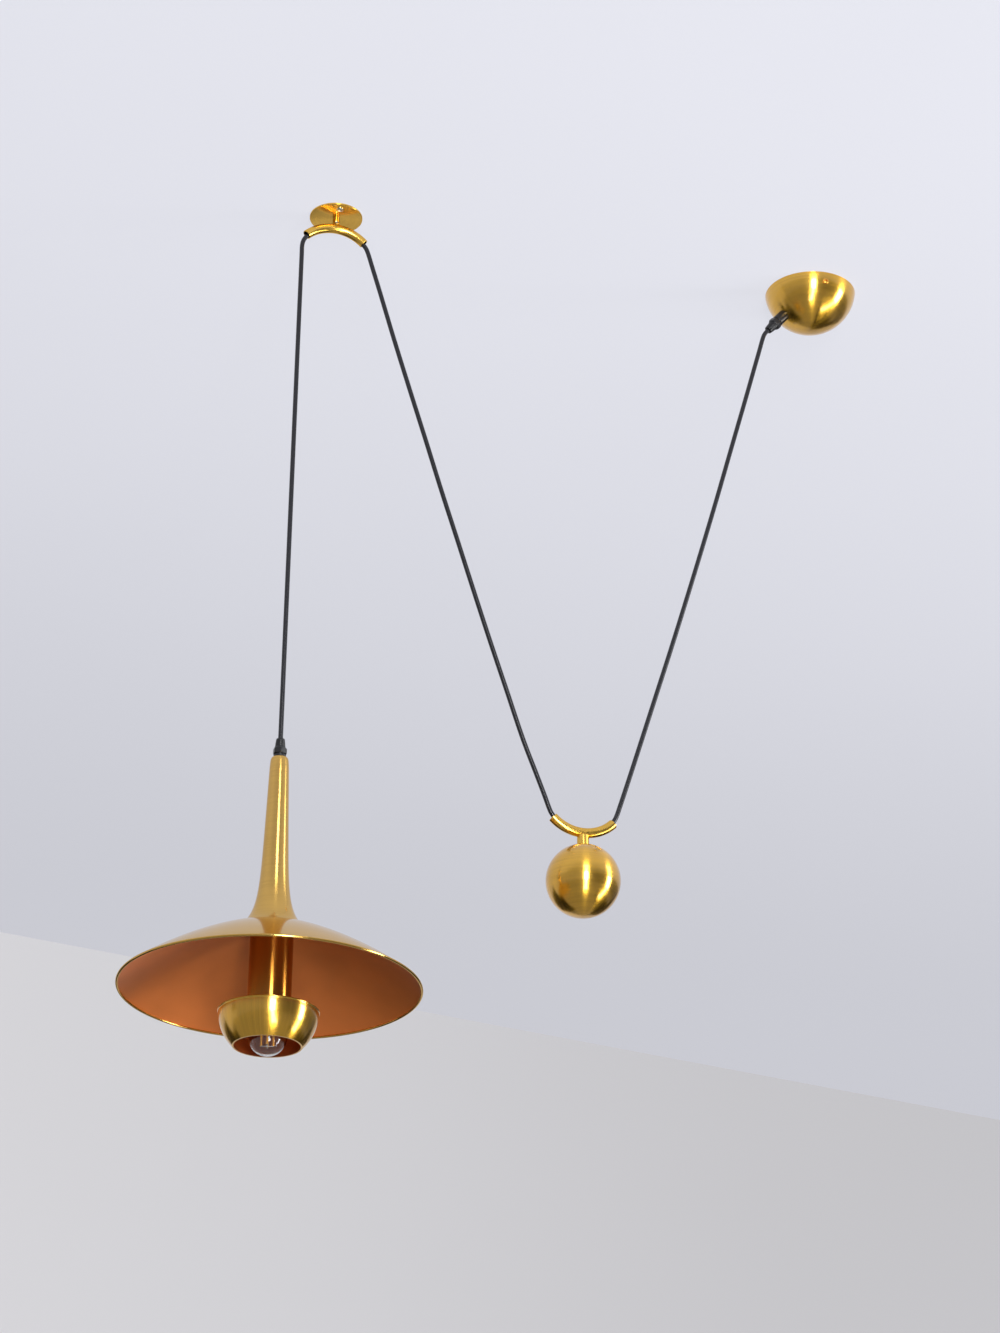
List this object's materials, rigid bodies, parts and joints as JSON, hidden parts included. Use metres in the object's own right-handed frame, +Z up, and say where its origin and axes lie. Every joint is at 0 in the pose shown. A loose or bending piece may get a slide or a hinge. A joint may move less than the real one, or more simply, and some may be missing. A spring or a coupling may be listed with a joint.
{
  "type": "rise and fall pendant",
  "caption": "Ceiling pendant lamp whose cord runs over a ceiling hook and round a ball counterweight, so that the lamp can be pulled down and pushed up.",
  "frame": {"origin": "centre of the canopy, on the ceiling plane", "axes": "+Z up, away from the lamp; +X from the ceiling hook towards the canopy; the whole cord lies in the plane Y = 0"},
  "size_m": [0.93, 0.35, 1.1365],
  "materials": {
    "satin_brass": "lacquered satin brass",
    "tube_brass": "polished brass",
    "zinc_steel": "zinc plated",
    "bright_screw": "bright plated",
    "black_polyamide": "moulded, fine texture",
    "black_cord": "smooth PVC sheath",
    "white_block": "moulded",
    "core_brown": "smooth PVC",
    "core_blue": "smooth PVC",
    "core_green": "green and yellow PVC",
    "nickel": "nickel plated",
    "black_glass": "vitreous insulator",
    "clear_glass": "clear blown glass",
    "filament": "amber phosphor"
  },
  "bodies": {
    "ceiling": {"canopy_shell": "satin_brass", "canopy_crossbar": "zinc_steel", "canopy_side_screws": "tube_brass", "canopy_gland_body": "black_polyamide", "canopy_gland_nut": "black_polyamide", "canopy_gland_locknut": "black_polyamide", "terminal_block": "white_block", "terminal_screws": "bright_screw", "terminal_block_screws": "bright_screw", "canopy_cord_tail": "black_cord", "canopy_live_core": "core_brown", "canopy_neutral_core": "core_blue", "canopy_earth_core": "core_green", "earth_screw": "tube_brass", "hook_disc": "satin_brass", "hook_disc_screws": "bright_screw", "hook_post": "satin_brass", "hook_post_screw": "zinc_steel", "hook_set_screw": "bright_screw", "hook_tube": "satin_brass", "cord_canopy_to_weight": "black_cord", "cord_weight_to_hook": "black_cord", "cord_hook_to_lamp": "black_cord"},
    "counterweight": {"weight_tube": "satin_brass", "weight_neck": "satin_brass", "weight_stud": "zinc_steel", "weight_ball": "satin_brass"},
    "lamp": {"lamp_gland_nut": "black_polyamide", "lamp_gland_body": "black_polyamide", "stem": "satin_brass", "threaded_rod": "tube_brass", "shade": "satin_brass", "inner_tube": "tube_brass", "tube_top_plate": "zinc_steel", "clamp_washer": "zinc_steel", "clamp_nut": "zinc_steel", "holder_body": "black_polyamide", "holder_shell": "nickel", "holder_contact": "tube_brass", "holder_wires": "core_brown", "holder_skirt_ring": "black_polyamide", "cup_carrier": "satin_brass", "cup_set_screws": "bright_screw", "cup": "satin_brass", "lamp_cord_tail": "black_cord"},
    "bulb": {"bulb_globe": "clear_glass", "bulb_cap": "nickel", "bulb_insulator": "black_glass", "bulb_contact": "nickel", "bulb_glass_stem": "clear_glass", "bulb_support_wires": "bright_screw", "bulb_filaments": "filament"}
  },
  "joints": [
    {"name": "lamp_travel", "type": "slide", "parent": "ceiling", "child": "lamp", "axis": [0, 0, 1], "range_m": [-0.6, 0.45], "deforming": ["cord_hook_to_lamp"]},
    {"name": "counterweight_travel", "type": "slide", "parent": "ceiling", "child": "counterweight", "axis": [0, 0, 1], "range_m": [-0.25, 0.33], "deforming": ["cord_canopy_to_weight", "cord_weight_to_hook"]},
    {"name": "bulb_turn", "type": "hinge", "parent": "lamp", "child": "bulb", "pos_m": [-0.695, 0, -1.066], "axis": [0, 0, -1], "range_deg": [0, 900]}
  ],
  "couplings": [
    {"joint": "counterweight_travel", "follows": "lamp_travel", "ratio": -0.535}
  ]
}
